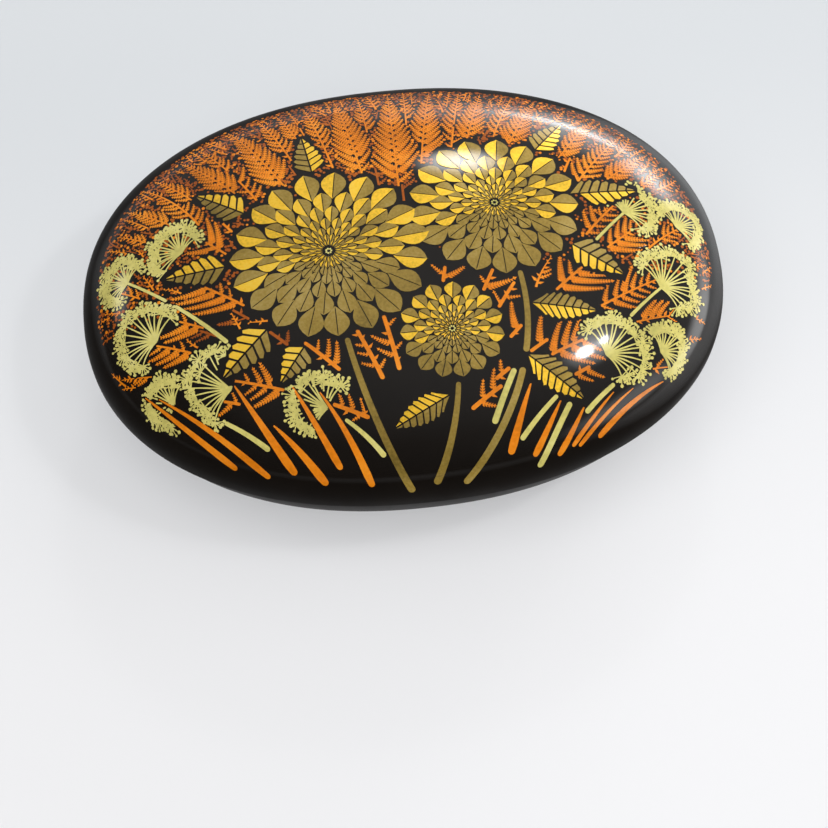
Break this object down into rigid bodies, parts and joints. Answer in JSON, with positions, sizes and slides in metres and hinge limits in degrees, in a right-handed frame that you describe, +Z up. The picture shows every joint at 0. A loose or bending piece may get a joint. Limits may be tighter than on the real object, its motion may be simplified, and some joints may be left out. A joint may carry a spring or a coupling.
{
  "type": "trinket box",
  "caption": "Oval black-lacquered trinket box with a printed domed lift-off lid, a collar that locates the lid, velvet lining and a padded floor.",
  "frame": {"origin": "middle of the foot ring, on the surface that the box stands on", "axes": "+Z up through the crown of the lid, +X along the long axis of the oval, -Y towards the viewer of the picture"},
  "size_m": [0.112, 0.0794, 0.04],
  "materials": {
    "lid_lacquer": "black lacquer on a shaped core, printed in orange, straw and gold under clear gloss",
    "base_lacquer": "plain black lacquer, satin",
    "velvet": "short-pile velvet, deep red",
    "card": "grey pulp card",
    "wadding": "loose cotton wadding",
    "felt": "thin pressed felt, black"
  },
  "bodies": {
    "base": {"base_shell": "base_lacquer", "locating_collar": "base_lacquer", "underside_felt": "felt", "wall_lining": "velvet", "floor_card": "card", "pad_wadding": "wadding", "pad_cover": "velvet"},
    "lid": {"lid_shell": "lid_lacquer", "lid_lining": "velvet"}
  },
  "joints": [
    {"name": "lid_lift", "type": "slide", "parent": "base", "child": "lid", "axis": [0, 0, 1], "range_m": [0, 0.06]}
  ]
}
